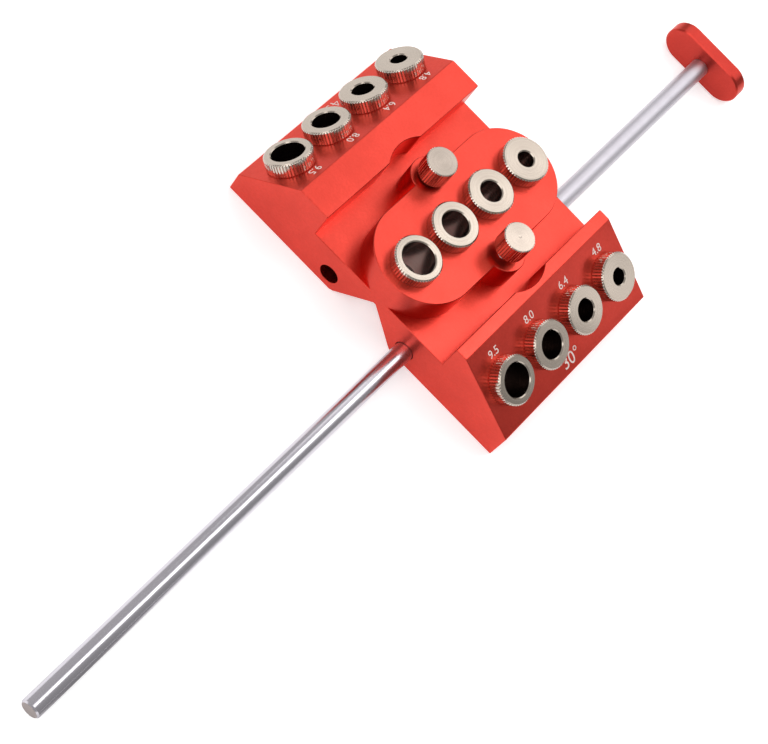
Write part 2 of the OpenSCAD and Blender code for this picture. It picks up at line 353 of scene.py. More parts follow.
def rolled_nickel():
    """Plated steel with the smooth, slightly worn ridges of a rolled knurl."""
    material, tree, shader = new_finish("nickel_on_rolled_knurl", {"Metallic": 1.0, "Roughness": 0.16})
    where = add_node(tree, "ShaderNodeTexCoord").outputs["Object"]
    wear = add_node(tree, "ShaderNodeTexNoise", {"Scale": 1 / (1.5 * MM), "Detail": 3.0}, {"Vector": where})
    tone = add_node(tree, "ShaderNodeValToRGB", links={"Fac": wear.outputs["Fac"]})
    tone.color_ramp.elements[0].color = linear("#bdb2a7")
    tone.color_ramp.elements[1].color = linear("#d8cfc5")
    tree.links.new(tone.outputs["Color"], shader.inputs["Base Color"])
    rough = add_node(tree, "ShaderNodeMapRange", {"To Min": 0.1, "To Max": 0.2},
                     {"Value": wear.outputs["Fac"]})
    tree.links.new(rough.outputs[0], shader.inputs["Roughness"])
    return material


NICKEL = turned_nickel("satin_nickel_turned_steel", "#ada195", "#baaea2", 0.3)
# The heads' nickel is a little darker than the bushes': painted shade that tones down the light their tops
# catch.
HEAD_PAINTED_SHADE_NICKEL = turned_nickel("fine_turned_nickel_painted_shade", "#a1958b", "#ab9f94", 0.12)
ROLLED = rolled_nickel()
print(NICKEL.name, len(NICKEL.node_tree.nodes), "nodes,", ROLLED.name, len(ROLLED.node_tree.nodes), "nodes")

# %% [markdown]
# Inside, a bush is honed steel, with fine rings that still shine along the bore. A hone's rings are too
# fine to show, so they are drawn at 0.6 mm. The way through the block below it is reamed after dyeing, so
# it shows bare, oily aluminium and no red. Both are given dark brown tones, which are painted shade for
# the depth of the bore and the way and keep them dark beside the plated faces. That is why the bores look
# so dark beside the plated faces.

# %% Honed bore and reamed way, in painted shade
def bore_steel_painted_shade():
    """Hardened steel with rings along the bore, its dark brown tone painted shade."""
    material, tree, shader = new_finish("honed_steel_painted_shade", {"Metallic": 1.0, "Roughness": 0.22})
    uv = add_node(tree, "ShaderNodeUVMap", {"uv_map": "turning"}).outputs["UV"]
    along = add_node(tree, "ShaderNodeSeparateXYZ", links={0: uv}).outputs["Y"]
    rings = add_node(tree, "ShaderNodeTexNoise", {
        "noise_dimensions": "1D", "Scale": 1 / 0.6, "Detail": 3.0}, {"W": along})
    tone = add_node(tree, "ShaderNodeValToRGB", links={"Fac": rings.outputs["Fac"]})
    tone.color_ramp.elements[0].color = linear("#66554f")
    tone.color_ramp.elements[1].color = linear("#8a766f")
    tree.links.new(tone.outputs["Color"], shader.inputs["Base Color"])
    rough = add_node(tree, "ShaderNodeMapRange", {"To Min": 0.15, "To Max": 0.28},
                     {"Value": rings.outputs["Fac"]})
    tree.links.new(rough.outputs[0], shader.inputs["Roughness"])
    return material


def reamed_aluminium():
    """Bare aluminium under uneven oil, its dark tone painted shade."""
    material, tree, shader = new_finish("oily_aluminium_painted_shade", {"Metallic": 1.0, "Roughness": 0.4})
    where = add_node(tree, "ShaderNodeTexCoord").outputs["Object"]
    oil = add_node(tree, "ShaderNodeTexNoise", {"Scale": 1 / (2 * MM), "Detail": 3.0}, {"Vector": where})
    tone = add_node(tree, "ShaderNodeValToRGB", links={"Fac": oil.outputs["Fac"]})
    tone.color_ramp.elements[0].color = linear("#3a302d")
    tone.color_ramp.elements[1].color = linear("#5c4f4a")
    tree.links.new(tone.outputs["Color"], shader.inputs["Base Color"])
    rough = add_node(tree, "ShaderNodeMapRange", {"To Min": 0.3, "To Max": 0.5},
                     {"Value": oil.outputs["Fac"]})
    tree.links.new(rough.outputs[0], shader.inputs["Roughness"])
    return material


BORE_PAINTED_SHADE, WAY_PAINTED_SHADE = bore_steel_painted_shade(), reamed_aluminium()
print(BORE_PAINTED_SHADE.name, len(BORE_PAINTED_SHADE.node_tree.nodes), "nodes,", WAY_PAINTED_SHADE.name, len(WAY_PAINTED_SHADE.node_tree.nodes), "nodes")

# %% [markdown]
# The rod is centreless-ground and polished bar, close to a mirror. Grinding leaves faint bands round it,
# a few millimetres wide, and hair-fine rings. The near half slides through the block at each new setting,
# which keeps it bright, while the far half by the stop stays duller. The sawn end is left matt and a
# little brown. One UV map tells them apart, because v counts in millimetres from the middle of the near
# end: the end face reaches to 2.5, the bar is bright to 125 and fully dull from 210.

# %% Polished steel bar
END_FACE_EDGE, BRIGHT_TO, DULL_FROM = 2.5, 125.0, 210.0


def polished_steel_bar():
    """Bright bar with grinding bands, duller in its far half and matt at the sawn end."""
    material, tree, shader = new_finish("polished_steel_bar", {"Metallic": 1.0, "Roughness": 0.14})
    uv = add_node(tree, "ShaderNodeUVMap", {"uv_map": "turning"}).outputs["UV"]
    along = add_node(tree, "ShaderNodeSeparateXYZ", links={0: uv}).outputs["Y"]
    bands = add_node(tree, "ShaderNodeTexNoise", {
        "noise_dimensions": "1D", "Scale": 1 / 4.0, "Detail": 5.0, "Roughness": 0.75}, {"W": along})
    end_face = add_node(tree, "ShaderNodeMath", {"operation": "LESS_THAN", 1: END_FACE_EDGE}, {0: along})
    tone = add_node(
        tree, "ShaderNodeMix",
        {"data_type": "RGBA", COLOUR_A: linear("#cbc7ce"), COLOUR_B: linear("#ada2a0")},
        {"Factor": end_face.outputs[0]})
    tree.links.new(tone.outputs[2], shader.inputs["Base Color"])
    ground = add_node(tree, "ShaderNodeMapRange", {"To Min": 0.17, "To Max": 0.25},
                      {"Value": bands.outputs["Fac"]})
    duller = add_node(tree, "ShaderNodeMapRange", {
        "From Min": BRIGHT_TO, "From Max": DULL_FROM, "To Min": 1.0, "To Max": 2.3}, {"Value": along})
    worn = add_node(tree, "ShaderNodeMath", {"operation": "MULTIPLY"},
                    {0: ground.outputs[0], 1: duller.outputs[0]})
    rough = add_node(tree, "ShaderNodeMix", {"data_type": "FLOAT", NUMBER_B: 0.5},
                     {0: end_face.outputs[0], NUMBER_A: worn.outputs[0]})
    tree.links.new(rough.outputs[0], shader.inputs["Roughness"])
    bump = add_node(tree, "ShaderNodeBump", {"Strength": 0.15, "Distance": 0.01 * MM},
                    {"Height": bands.outputs["Fac"]})
    tree.links.new(bump.outputs["Normal"], shader.inputs["Normal"])
    return material


BAR = polished_steel_bar()
print(BAR.name, len(BAR.node_tree.nodes), "nodes")

# %% [markdown]
# Three small finishes are left. The studs are bright zinc-plated steel, which is bluish and a little
# cloudy. The screw behind the stop has black oxide, a thin dark skin that wears at its edges. The numbers
# are laser-marked: the beam bleaches the dye, which leaves a matt, pale and slightly pink line.

# %% Zinc, black oxide and laser mark
def zinc_plated_steel():
    """Bluish zinc with soft clouds."""
    material, tree, shader = new_finish("bright_zinc_plated_steel", {"Metallic": 1.0, "Roughness": 0.28})
    where = add_node(tree, "ShaderNodeTexCoord").outputs["Object"]
    cloud = add_node(tree, "ShaderNodeTexNoise", {"Scale": 1 / (1.2 * MM), "Detail": 3.0},
                     {"Vector": where})
    tone = add_node(tree, "ShaderNodeValToRGB", links={"Fac": cloud.outputs["Fac"]})
    tone.color_ramp.elements[0].color = linear("#a7a8aa")
    tone.color_ramp.elements[1].color = linear("#c6c8cc")
    tree.links.new(tone.outputs["Color"], shader.inputs["Base Color"])
    rough = add_node(tree, "ShaderNodeMapRange", {"To Min": 0.2, "To Max": 0.36},
                     {"Value": cloud.outputs["Fac"]})
    tree.links.new(rough.outputs[0], shader.inputs["Roughness"])
    return material


def black_oxide_steel():
    """A thin dark skin, worn a little lighter in places."""
    material, tree, shader = new_finish("black_oxide_steel", {"Metallic": 0.8, "Roughness": 0.4})
    where = add_node(tree, "ShaderNodeTexCoord").outputs["Object"]
    skin = add_node(tree, "ShaderNodeTexNoise", {"Scale": 1 / (0.8 * MM), "Detail": 4.0}, {"Vector": where})
    tone = add_node(tree, "ShaderNodeValToRGB", links={"Fac": skin.outputs["Fac"]})
    tone.color_ramp.elements[0].color = linear("#2b2a2b")
    tone.color_ramp.elements[1].color = linear("#45423f")
    tree.links.new(tone.outputs["Color"], shader.inputs["Base Color"])
    bump = add_node(tree, "ShaderNodeBump", {"Strength": 0.3, "Distance": 0.01 * MM},
                    {"Height": skin.outputs["Fac"]})
    tree.links.new(bump.outputs["Normal"], shader.inputs["Normal"])
    return material


def laser_mark_on_dye():
    """Matt, bleached dye with fine specks."""
    material, tree, shader = new_finish("laser_mark_on_anodising", {"Roughness": 0.6})
    where = add_node(tree, "ShaderNodeTexCoord").outputs["Object"]
    speck = add_node(tree, "ShaderNodeTexNoise", {"Scale": 1 / (0.3 * MM), "Detail": 2.0},
                     {"Vector": where})
    tone = add_node(tree, "ShaderNodeValToRGB", links={"Fac": speck.outputs["Fac"]})
    tone.color_ramp.elements[0].color = linear("#eacdc4")
    tone.color_ramp.elements[1].color = linear("#fdf3ef")
    tree.links.new(tone.outputs["Color"], shader.inputs["Base Color"])
    return material


ZINC, BLACK, MARK = zinc_plated_steel(), black_oxide_steel(), laser_mark_on_dye()
print("finishes:", ZINC.name, BLACK.name, MARK.name)

# %% [markdown]
# Most pieces here are turned on a lathe, so one helper turns a profile: a chain of radius and height
# points in millimetres is spun once round the upright axis. Each point keeps its distance along the
# profile in a layer, and a second helper writes the UV map from it. A third gives some faces another
# finish, such as a bore. The last makes the object, marks its sharp edges, hangs it on an empty for the
# body it rides on and hides the CAD solid it stands for.

# %% Turning helpers
def turned(profile, steps, closed=True):
    """A bmesh of a profile of (radius, height) points in mm, spun a full turn round +Z."""
    bm = bmesh.new()
    run = bm.verts.layers.float.new("run")
    chain, length = [], 0.0
    for i, point in enumerate(profile):
        length += math.dist(point, profile[i - 1]) if i else 0.0
        corner = bm.verts.new((point[0] * MM, 0, point[1] * MM))
        corner[run] = length
        chain.append(corner)
    pairs = list(zip(chain, chain[1:])) + ([(chain[-1], chain[0])] if closed else [])
    lines = [bm.edges.new(pair) for pair in pairs]
    bmesh.ops.spin(bm, geom=chain + lines, cent=(0, 0, 0), axis=(0, 0, 1), angle=2 * math.pi, steps=steps,
                   use_merge=True)
    bmesh.ops.remove_doubles(bm, verts=bm.verts, dist=1e-7)
    bmesh.ops.recalc_face_normals(bm, faces=bm.faces)
    return bm


def map_turning(bm, around):
    """Writes the UV map: u is the angle times a radius in mm, v is the distance along the profile in mm."""
    run, uv = bm.verts.layers.float["run"], bm.loops.layers.uv.new("turning")
    for face in bm.faces:
        middle = face.calc_center_median()
        facing = math.atan2(middle.y, middle.x)
        for loop in face.loops:
            co = loop.vert.co
            turn = math.atan2(co.y, co.x) - facing if co.xy.length > 1e-6 else 0.0
            turn -= 2 * math.pi * round(turn / (2 * math.pi))
            loop[uv].uv = ((facing + turn) * around, loop.vert[run])


def refinish(bm, index, wanted):
    """Gives the finish of an index to the faces whose middle, as radius and height in mm, is wanted."""
    for face in bm.faces:
        middle = face.calc_center_median()
        if wanted(middle.xy.length / MM, middle.z / MM):
            face.material_index = index


def as_piece(bm, name, finishes, body, node=None, sharp=32):
    """Turns a bmesh into an object of the tool, with smooth faces and sharp edges past an angle."""
    for face in bm.faces:
        face.smooth = True
    for edge in bm.edges:
        edge.smooth = len(edge.link_faces) == 2 and edge.calc_face_angle(0.0) < math.radians(sharp)
    mesh = bpy.data.meshes.new(name)
    bm.to_mesh(mesh)
    bm.free()
    for finish in finishes:
        mesh.materials.append(finish)
    piece = bpy.data.objects.new(name, mesh)
    bpy.context.scene.collection.objects.link(piece)
    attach(piece, body)
    if node:
        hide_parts(node)
    print(name, len(mesh.polygons), "faces,", [round(d / MM, 2) for d in piece.dimensions], "mm")
    return piece


washer = turned([(1, 0), (2, 0), (2, 1), (1, 1)], steps=12)
print("a washer with 4 corners in its profile, spun in 12 steps, has", len(washer.faces), "faces")
washer.free()

# %% [markdown]
# The block is one milled piece with many cut faces, so its CAD mesh is the best start. A copy is merged
# and its flat triangles are dissolved, which leaves only real edges. The maker breaks every edge with a
# small chamfer before blasting, and that chamfer is the light line along the edges in the photograph. A
# bevel of 0.28 mm in two steps on the outward corners gives the same line. Corners inside the holes stay
# as they are, so each hole has a reach round its axis within which no edge is broken. The walls of the
# reamed ways are told from the rest by their distance from a bush's axis, and get a dark finish that is
# painted shade for the inside of the way. Each row's seat is the place of its bushes across the tool and
# up, with their lean in degrees.

# %% Milled block
BUSH_SEATS = {"45": ((-42.75, 15.75), -45), "90": ((0.0, 24.0), 0), "30": ((39.518, 17.35), 30)}
ROD_HOLE_REACH, CLAMP_HOLE_REACH, BUSH_HOLE_REACH, WAY_REACH = 3.4, 2.9, 6.3, 5.4
EDGE_BREAK, SAME_PLANE_DEG, CORNER_DEG, ALONG_THE_WAY = 0.28, 0.6, 12, 0.3


def bush_axis_near(point, reach):
    """The direction of the bush axis that passes a point in mm within a reach in mm, or None."""
    for (seat_x, seat_z), lean in BUSH_SEATS.values():
        axis = Vector((math.sin(math.radians(lean)), 0, math.cos(math.radians(lean))))
        for row_y in BUSH_ROWS_Y:
            away = point - Vector((seat_x, row_y, seat_z))
            if (away - axis * away.dot(axis)).length < reach:
                return axis
    return None


def in_a_hole(point):
    """True where a point in mm lies in one of the holes drilled in the block."""
    x, y, z = point
    in_rod_hole = math.hypot(abs(x) - ROD_X, z - ROD_Z) < ROD_HOLE_REACH
    in_clamp_hole = math.hypot(abs(x) - ROD_X, y) < CLAMP_HOLE_REACH
    return in_rod_hole or in_clamp_hole or bush_axis_near(point, BUSH_HOLE_REACH) is not None


def outline_edges(bm, least):
    """Edges outside the holes where two faces meet outwards by more than an angle in degrees."""
    shared = [e for e in bm.edges if len(e.link_faces) == 2]
    corners = [e for e in shared if e.calc_face_angle_signed(0.0) > math.radians(least)]
    return [e for e in corners if not in_a_hole((e.verts[0].co + e.verts[1].co) / 2 / MM)]


block_bm = bmesh.new()
block_bm.from_mesh(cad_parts["body_block"].data)
print("block from the CAD:", len(block_bm.faces), "triangles")
bmesh.ops.remove_doubles(block_bm, verts=block_bm.verts, dist=1e-6)
bmesh.ops.dissolve_limit(block_bm, angle_limit=math.radians(SAME_PLANE_DEG), verts=block_bm.verts,
                         edges=block_bm.edges)
outline = outline_edges(block_bm, CORNER_DEG)
print("after merging and dissolving:", len(block_bm.faces), "faces,", len(outline), "outline edges")
bmesh.ops.bevel(block_bm, geom=outline, offset=EDGE_BREAK * MM, offset_type="OFFSET", segments=2,
                affect="EDGES", profile=0.5, material=-1, clamp_overlap=False)
reamed = 0
# Walls of the ways get the dark finish, painted shade for the inside of each way.
for face in block_bm.faces:
    axis = bush_axis_near(face.calc_center_median() / MM, WAY_REACH)
    if axis and abs(face.normal.dot(axis)) < ALONG_THE_WAY:
        face.material_index = 1
        reamed += 1
print("faces of the reamed ways:", reamed)
milled_block = as_piece(block_bm, "milled_block", [RED, WAY_PAINTED_SHADE], "block", "body_block",
                        sharp=50)
weighted = milled_block.modifiers.new("flat_faces_stay_flat", "WEIGHTED_NORMAL")
weighted.keep_sharp = True
weighted.weight = 100

# %% [markdown]
# A drill bush is a hard steel sleeve pressed into the block. Its head has a straight knurl, a chamfered
# rim and a chamfered mouth that leads the drill in. The profile runs up the bore, over the face, down the
# knurl and round the shank. The knurl is 50 ridges: the head is spun in 400 steps, and every vertex
# outside the ridge line at its angle is moved in to it, so the grooves run out on the rim's chamfer as a
# knurling wheel leaves them. A ridge is flat to 0.26 of the pitch on either side of its middle, and the
# rest falls to a V groove. Each bore is its drill's size and 0.06 mm of play. Faces whose middle lies
# within a band of 0.15 mm from the head's radius are the knurl, and a hair of 0.1 mm keeps the other
# tests clear of rounding.

# %% Drill bushes
DRILLS, DRILL_PLAY = (9.52, 7.93, 6.35, 4.75), 0.06
BUSH_HEAD_R, BUSH_HEAD_H, BUSH_SHANK_R, BUSH_LENGTH = 7.0, 4.1, 6.0, 9.0
RIM_CHAMFER, RIM_STEP, MOUTH_CHAMFER, UNDER_CHAMFER, SHANK_CHAMFER = 0.45, 0.1, 0.3, 0.25, 0.45
BUSH_RIDGES, RIDGE_STEPS, RIDGE_FLAT = 50, 8, 0.26
KNURL_BAND, HAIR = 0.15, 0.1


def cut_knurl(bm, radius, ridges, depth, low):
    """Moves the vertices above a height in mm in to a ring of flat ridges with V grooves between."""
    for corner in bm.verts:
        out = corner.co.xy.length / MM
        if corner.co.z / MM > low and out > radius - 2 * depth:
            share = (math.atan2(corner.co.y, corner.co.x) / (2 * math.pi) * ridges) % 1.0
            groove = max(0.0, (min(share, 1 - share) - RIDGE_FLAT) / (0.5 - RIDGE_FLAT))
            limit = radius - depth * groove
            if out > limit:
                corner.co.xy *= limit / out


def drill_bush(drill):
    """One bush, standing on the underside of its head at the origin."""
    bore = (drill + DRILL_PLAY) / 2
    mouth, face = bore + MOUTH_CHAMFER, BUSH_HEAD_R - RIM_CHAMFER
    inside = [(bore, -BUSH_LENGTH), (bore, BUSH_HEAD_H - MOUTH_CHAMFER), (mouth, BUSH_HEAD_H),
              ((mouth + face) / 2, BUSH_HEAD_H)]
    rim = [(face + RIM_STEP * k, BUSH_HEAD_H - RIM_STEP * k) for k in range(5)]
    knurl = [(BUSH_HEAD_R, BUSH_HEAD_H - RIM_CHAMFER), (BUSH_HEAD_R, BUSH_HEAD_H / 2),
             (BUSH_HEAD_R, UNDER_CHAMFER), (BUSH_HEAD_R - UNDER_CHAMFER, 0.0)]
    shank = [(BUSH_SHANK_R, 0.0), (BUSH_SHANK_R, SHANK_CHAMFER - BUSH_LENGTH),
             (BUSH_SHANK_R - SHANK_CHAMFER, -BUSH_LENGTH)]
    bm = turned(inside + rim + knurl + shank, BUSH_RIDGES * RIDGE_STEPS)
    refinish(bm, 1, lambda out, height: out > BUSH_HEAD_R - KNURL_BAND and height > HAIR)
    # The bore and the shank get the dark bore steel, painted shade inside the bore.
    refinish(bm, 2, lambda out, height: out < bore + HAIR or height < -HAIR)
    cut_knurl(bm, BUSH_HEAD_R, BUSH_RIDGES, depth=0.32, low=0.05)
    map_turning(bm, BUSH_HEAD_R)
    return bm


for row, ((seat_x, seat_z), lean) in BUSH_SEATS.items():
    for i, (y, drill) in enumerate(zip(BUSH_ROWS_Y, DRILLS), start=1):
        bush_bm = drill_bush(drill)
        seat = Matrix.Translation((seat_x * MM, y * MM, seat_z * MM))
        leaning = Matrix.Rotation(math.radians(lean), 4, "Y")
        bmesh.ops.transform(bush_bm, matrix=seat @ leaning, verts=bush_bm.verts)
        as_piece(bush_bm, f"drill_bush_{row}_{i}", [NICKEL, ROLLED, BORE_PAINTED_SHADE], "block", f"bush_{row}_{i}")

# %% [markdown]
# The guide rod is a plain bar with a chamfered near end. Its far end has a tapped hole for the stop's
# screw, which nobody sees, but the profile goes down it, so the piece is a true solid. It is spun upright
# and then laid along the tool with a quarter turn.

# %% Guide rod
ROD_NEAR, ROD_FAR = (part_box("guide_rod")[i].y / MM for i in (0, 1))
ROD_CHAMFER, TAPPED_R, TAPPED_DEEP, ROUND_STEPS = 0.5, 1.55, 12.3, 128
ALONG_TOOL = Matrix.Rotation(math.radians(-90), 4, "X")
rod_length = ROD_FAR - ROD_NEAR
end_flat = ROD_R - ROD_CHAMFER
outside = [(0, 0), (end_flat / 2, 0), (end_flat, 0), (ROD_R, ROD_CHAMFER), (ROD_R, rod_length / 2),
           (ROD_R, rod_length)]
tapped_hole = [(TAPPED_R, rod_length), (TAPPED_R, rod_length - TAPPED_DEEP), (0, rod_length - TAPPED_DEEP)]
rod_bm = turned(outside + tapped_hole, ROUND_STEPS, closed=False)
map_turning(rod_bm, ROD_R)
near_end = Matrix.Translation((ROD_X * MM, ROD_NEAR * MM, ROD_Z * MM))
bmesh.ops.transform(rod_bm, matrix=near_end @ ALONG_TOOL, verts=rod_bm.verts)
as_piece(rod_bm, "guide_bar", [BAR], "rod", "guide_rod")

# %% [markdown]
# The stop is a small red plate with round ends, drilled for the rod and its screw. All its outlines are
# closed loops of 128 points: round ones for the hole, and long-round ones for the plate, which are the
# same circle pulled apart in the middle. Bridging each loop to the next makes the seat, the hole and the
# rim, and a fill between a long-round loop and a round one makes each flat face. The rim's outer loops
# step in by a small chamfer, which the photograph shows as a light line round the front.

# %% Stop plate
STOP_FRONT, STOP_BACK = (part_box("stop_plate")[i].y / MM for i in (0, 1))
STOP_R, STOP_REACH, STOP_Z, STOP_EDGE = 6.2, 8.2, 6.2, 0.45
SEAT_R, SEAT_DEEP, SCREW_HOLE_R, SINK_R, SINK_DEEP = 2.95, 2.02, 1.5, 3.02, 1.5


def loop_ring(bm, radius, reach, y, z):
    """A closed loop in a plane across the rod, in mm: a circle, pulled apart sideways by reach."""
    flat = Matrix.Translation((ROD_X * MM, y * MM, z * MM)) @ Matrix.Rotation(math.radians(90), 4, "X")
    half_step = Matrix.Rotation(math.pi / ROUND_STEPS, 4, "Z")
    ring = bmesh.ops.create_circle(bm, cap_ends=False, segments=ROUND_STEPS, radius=radius * MM,
                                   matrix=half_step)["verts"]
    for corner in ring:
        corner.co.x += math.copysign(reach * MM, corner.co.x)
    bmesh.ops.transform(bm, matrix=flat, verts=ring)
    return list({edge for corner in ring for edge in corner.link_edges})


stop_bm = bmesh.new()
rim_steps = [(STOP_EDGE, 0), (0, STOP_EDGE)]
seat_floor = STOP_FRONT + SEAT_DEEP
rings = [(SCREW_HOLE_R, 0, seat_floor, ROD_Z), (SEAT_R, 0, seat_floor, ROD_Z),
         (SEAT_R, 0, STOP_FRONT, ROD_Z)]
FRONT_HOLE = len(rings) - 1
rings += [(STOP_R - inset, STOP_REACH, STOP_FRONT + rise, STOP_Z) for inset, rise in rim_steps]
rings += [(STOP_R - inset, STOP_REACH, STOP_BACK - rise, STOP_Z) for inset, rise in reversed(rim_steps)]
BACK_RIM = len(rings) - 1
rings += [(SINK_R, 0, STOP_BACK, ROD_Z), (SCREW_HOLE_R, 0, STOP_BACK - SINK_DEEP, ROD_Z)]
loops = [loop_ring(stop_bm, *ring) for ring in rings]
for k, (one, following) in enumerate(zip(loops, loops[1:] + loops[:1])):
    if k in (FRONT_HOLE, BACK_RIM):
        bmesh.ops.triangle_fill(stop_bm, use_beauty=True, edges=one + following)
    else:
        bmesh.ops.bridge_loops(stop_bm, edges=one + following)
bmesh.ops.recalc_face_normals(stop_bm, faces=stop_bm.faces)
stop_piece = as_piece(stop_bm, "stop_bar", [STOP_PAINTED_SHADE_RED], "stop", "stop_plate", sharp=30)
stop_weighted = stop_piece.modifiers.new("flat_faces_stay_flat", "WEIGHTED_NORMAL")
stop_weighted.keep_sharp = True
stop_weighted.weight = 100

# %% [markdown]
# A countersunk socket screw holds the stop on the rod. The head is a cone with a flat face, so its outer
# outline is a circle. Its key hole starts from a six-sided circle whose sides are divided until it has as
# many points as the round one, so the two bridge cleanly. A hexagon deeper down gives the key hole its
# walls, and the open ends are filled. Each loop is its number of sides, its radius and its height.

# %% Stop screw
SCREW_POINTS, KEY_SIDES, KEY_R, KEY_MOUTH_R, KEY_DEEP = 48, 6, 1.12, 1.125, 1.5
SCREW_FACE_R, SCREW_HEAD_R, SCREW_SHANK_R, SCREW_TIP_R = 2.9, 2.97, 1.47, 1.1
SCREW_EDGE_Z, SCREW_CONE_Z, SCREW_TAPER_Z, SCREW_TIP_Z = -0.06, -1.55, -13.6, -14.0


def screw_loop(bm, sides, radius, height):
    """A loop of 48 points in mm: a circle with 48 sides, or a hexagon with divided sides."""
    earlier = set(bm.edges)
    bmesh.ops.create_circle(bm, cap_ends=False, segments=sides, radius=radius * MM,
                            matrix=Matrix.Translation((0, 0, height * MM)))
    if sides < SCREW_POINTS:
        bmesh.ops.subdivide_edges(bm, edges=[e for e in bm.edges if e not in earlier],
                                  cuts=SCREW_POINTS // sides - 1)
    return [e for e in bm.edges if e not in earlier]


screw_bm = bmesh.new()
key_rings = [(KEY_SIDES, KEY_R, -KEY_DEEP), (KEY_SIDES, KEY_MOUTH_R, 0)]
round_rings = [(SCREW_POINTS, radius, height) for radius, height in (
    (SCREW_FACE_R, 0), (SCREW_HEAD_R, SCREW_EDGE_Z), (SCREW_SHANK_R, SCREW_CONE_Z),
    (SCREW_SHANK_R, SCREW_TAPER_Z), (SCREW_TIP_R, SCREW_TIP_Z))]
screw_loops = [screw_loop(screw_bm, *ring) for ring in key_rings + round_rings]
for one, following in zip(screw_loops, screw_loops[1:]):
    bmesh.ops.bridge_loops(screw_bm, edges=one + following)
bmesh.ops.holes_fill(screw_bm, edges=screw_bm.edges, sides=0)
bmesh.ops.recalc_face_normals(screw_bm, faces=screw_bm.faces)
behind_stop = Matrix.Translation((ROD_X * MM, STOP_BACK * MM, ROD_Z * MM))
bmesh.ops.transform(screw_bm, matrix=behind_stop @ ALONG_TOOL, verts=screw_bm.verts)
as_piece(screw_bm, "countersunk_screw", [BLACK], "stop", "stop_screw", sharp=30)

# %% [markdown]
# Each thumbscrew's stud has an M5 thread with a pitch of 0.8 mm. A real thread is a helix, and a spin
# makes one when it climbs as it turns: the profile of the whole length is spun once and rises by one
# pitch, so each tooth ends where the next began. A tooth is given as shares of the pitch with a radius
# for each. Two planes cut it to length, the open ends are filled, and the tip is narrowed to a cone, as a
# die leaves it.

# %% Threaded studs
PITCH, CREST_R, ROOT_R, TIP_R, STUD_STEPS = 0.8, 2.48, 2.06, 2.0, 36
TOOTH = ((0.0, ROOT_R), (0.12, ROOT_R), (0.48, CREST_R), (0.62, CREST_R))


def threaded_stud(name, node, body, x):
    """A stud over a CAD node, with its axis at x in mm."""
    low, high = (corner.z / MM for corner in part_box(node))
    bm = bmesh.new()
    teeth = math.ceil((high - low) / PITCH) + 3
    chain = [bm.verts.new((radius * MM, 0, (low + (k + share - 2) * PITCH) * MM))
             for k in range(teeth) for share, radius in TOOTH]
    lines = [bm.edges.new(pair) for pair in zip(chain, chain[1:])]
    bmesh.ops.spin(bm, geom=chain + lines, cent=(0, 0, 0), axis=(0, 0, 1), angle=2 * math.pi,
                   dvec=(0, 0, PITCH * MM / STUD_STEPS), steps=STUD_STEPS)
    bmesh.ops.remove_doubles(bm, verts=bm.verts, dist=2e-6)
    for height, side in ((low, -1), (high, 1)):
        bmesh.ops.bisect_plane(bm, geom=bm.verts[:] + bm.edges[:] + bm.faces[:], dist=1e-8,
                               plane_co=(0, 0, height * MM), plane_no=(0, 0, side), clear_outer=True)
    bmesh.ops.holes_fill(bm, edges=bm.edges, sides=0)
    for corner in bm.verts:
        limit = TIP_R + (corner.co.z / MM - low)
        if corner.co.xy.length / MM > limit:
            corner.co.xy *= limit * MM / corner.co.xy.length
    bmesh.ops.recalc_face_normals(bm, faces=bm.faces)
    bmesh.ops.translate(bm, vec=(x * MM, 0, 0), verts=bm.verts)
    return as_piece(bm, name, [ZINC], body, node, sharp=40)


threaded_stud("thumbscrew_stud_right", "clamp_stud_right", "clamp_right", ROD_X)
threaded_stud("thumbscrew_stud_left", "clamp_stud_left", "clamp_left", -ROD_X)

# %% [markdown]
# The thumbscrew heads are turned like the bushes, with a straight knurl of 38 ridges, a polished chamfer
# below and a fine rim above. The top face keeps faint rings, and the right one a tiny pip where the lathe
# tool stopped. The stud's socket is drilled up into the underside. Points set close together beside an
# edge keep its shading narrow.

# %% Thumbscrew heads
HEAD_R, HEAD_RIDGES, HEAD_CHAMFER, HEAD_RIM = 4.6, 38, 1.0, 0.25
PIP_R, SOCKET_R, SOCKET_DEEP, POLISHED_BAND = 0.3, 2.55, 4.0, 0.7


def thumbscrew_head(name, node, body, x, pip):
    """A head over a CAD node, with a pip of a depth in mm at the middle of its top."""
    low, high = (corner.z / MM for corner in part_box(node))
    tall = high - low
    face = [(0, tall - pip), (PIP_R, tall - pip), (0.4, tall), (0.5, tall), (2.4, tall)]
    rim = [(HEAD_R - 0.35, tall), (HEAD_R - HEAD_RIM, tall), (HEAD_R - 0.15, tall - 0.1),
           (HEAD_R, tall - HEAD_RIM)]
    side = [(HEAD_R, tall / 2)]
    chamfer = [(HEAD_R - inset, HEAD_CHAMFER - inset) for inset in (0.0, 0.1, 0.2, 0.3, HEAD_CHAMFER)]
    socket = [(SOCKET_R, 0.0), (SOCKET_R, SOCKET_DEEP), (0, SOCKET_DEEP)]
    bm = turned(face + rim + side + chamfer + socket, HEAD_RIDGES * RIDGE_STEPS, closed=False)
    refinish(bm, 1, lambda out, height: out > HEAD_R - POLISHED_BAND and height < tall - KNURL_BAND)
    cut_knurl(bm, HEAD_R, HEAD_RIDGES, depth=0.24, low=0.15)
    map_turning(bm, HEAD_R)
    bmesh.ops.translate(bm, vec=(x * MM, 0, low * MM), verts=bm.verts)
    return as_piece(bm, name, [HEAD_PAINTED_SHADE_NICKEL, ROLLED], body, node)


thumbscrew_head("thumbscrew_head_right", "clamp_knob_right", "clamp_right_head", ROD_X, pip=0.02)
thumbscrew_head("thumbscrew_head_left", "clamp_knob_left", "clamp_left_head", -ROD_X, pip=0.0)

